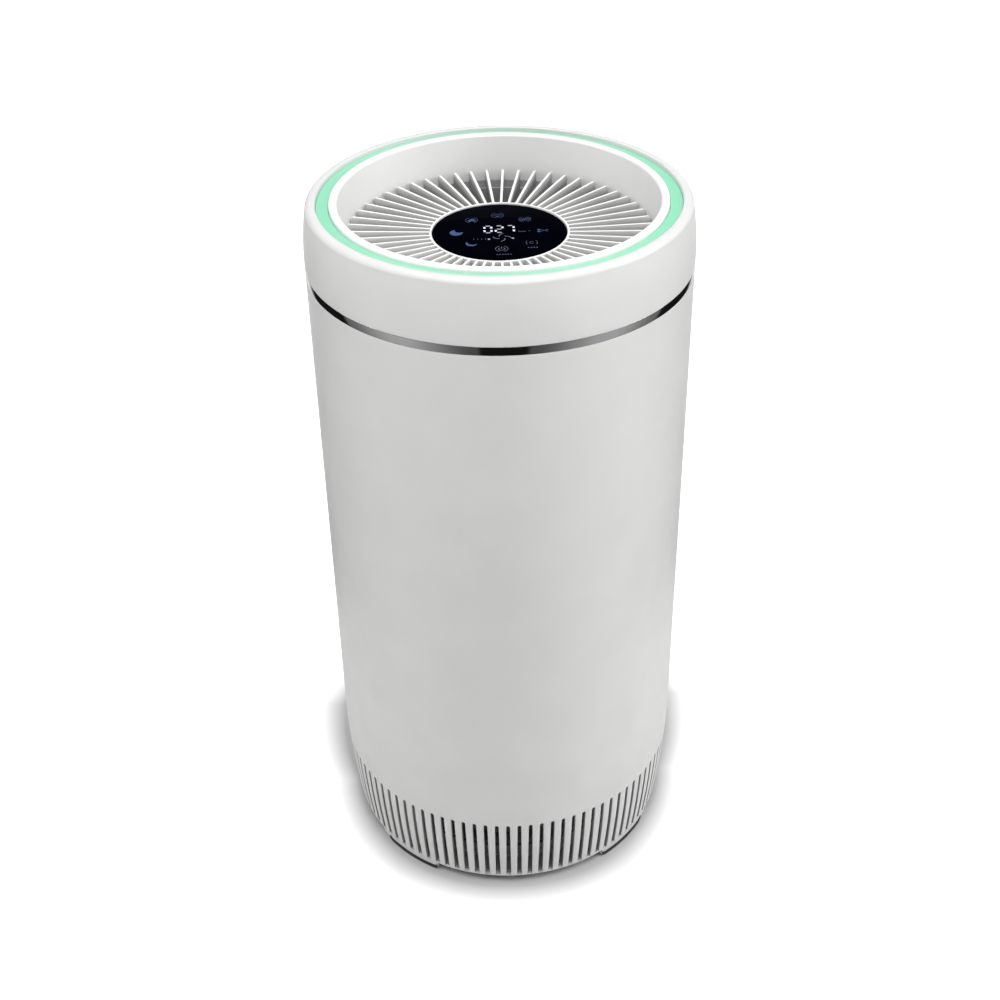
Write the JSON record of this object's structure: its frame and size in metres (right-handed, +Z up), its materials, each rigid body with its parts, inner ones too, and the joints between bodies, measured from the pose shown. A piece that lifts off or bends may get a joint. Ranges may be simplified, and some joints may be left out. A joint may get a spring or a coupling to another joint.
{
  "type": "air purifier",
  "caption": "Round tower air purifier with a slotted base, twist-off filter cover, radial outlet grille, touch display and lit rim.",
  "frame": {"origin": "centre of the footprint, on the floor under the rubber feet", "axes": "+Z up along the tower's axis, the front of the display faces -Y"},
  "size_m": [0.262, 0.2619, 0.519],
  "materials": {
    "white_plastic": "satin moulded",
    "grille_plastic": "satin moulded",
    "frame_plastic": "moulded",
    "chrome": "polished dark chrome",
    "light_guide": "frosted, lit",
    "circuit_board": "lacquered",
    "steel": "zinc plated",
    "display_black": "glossy",
    "black_plastic": "moulded",
    "dark_plastic": "moulded",
    "foam": "open cell foam",
    "motor_metal": "satin",
    "winding": "enamelled copper wire",
    "rubber": "matte",
    "cable": "matte",
    "red_plastic": "moulded",
    "impeller_plastic": "moulded",
    "filter_paper": "pleated paper",
    "carbon": "granular",
    "filter_mesh": "nylon mesh",
    "cap_plastic": "moulded",
    "tab_fabric": "woven tape"
  },
  "bodies": {
    "housing": {"outer_casing": "white_plastic", "chrome_band": "chrome", "head_shell": "white_plastic", "outlet_bowl": "white_plastic", "light_ring": "light_guide", "light_ring_board": "circuit_board", "head_screws": "steel", "outlet_grille": "grille_plastic", "display_glass": "display_black", "display_board": "circuit_board", "display_housing": "black_plastic", "display_screws": "steel", "display_lead": "cable", "fan_duct": "dark_plastic", "guide_vanes": "dark_plastic", "duct_screws": "steel", "fan_deck": "dark_plastic", "deck_seal": "foam", "deck_screws": "steel", "motor_case": "motor_metal", "motor_winding": "winding", "motor_plate": "motor_metal", "motor_bushes": "rubber", "motor_bearings": "steel", "motor_screws": "steel", "motor_lead": "cable", "control_board": "circuit_board", "power_board": "circuit_board", "power_inlet": "black_plastic", "inlet_pins": "steel", "mains_lead": "cable", "dust_sensor": "black_plastic", "chamber_frame": "frame_plastic", "base_ring": "white_plastic", "foot_pads": "rubber", "base_screws": "steel", "switch_body": "black_plastic", "switch_spring": "steel"},
    "impeller": {"impeller": "impeller_plastic", "motor_shaft": "steel", "motor_rotor": "motor_metal", "impeller_nut": "steel"},
    "filter": {"filter_media": "filter_paper", "carbon_sleeve": "carbon", "prefilter_mesh": "filter_mesh", "filter_top_cap": "cap_plastic", "filter_bottom_cap": "cap_plastic", "filter_seal": "foam", "pull_tab": "tab_fabric"},
    "cover": {"filter_cover": "white_plastic"},
    "plunger": {"switch_plunger": "red_plastic"}
  },
  "joints": [
    {"name": "impeller_spin", "type": "hinge", "parent": "housing", "child": "impeller", "pos_m": [0, 0, 0.379], "axis": [0, 0, 1], "continuous": true},
    {"name": "filter_removal", "type": "slide", "parent": "housing", "child": "filter", "axis": [0, 0, -1], "range_m": [0, 0.334]},
    {"name": "cover_twist", "type": "hinge", "parent": "filter", "child": "cover", "pos_m": [0, 0, 0.02], "axis": [0, 0, 1], "range_deg": [0, 30]},
    {"name": "switch_travel", "type": "slide", "parent": "housing", "child": "plunger", "axis": [0, 0, 1], "range_m": [0, 0.002], "stiffness_N_per_m": 300}
  ]
}
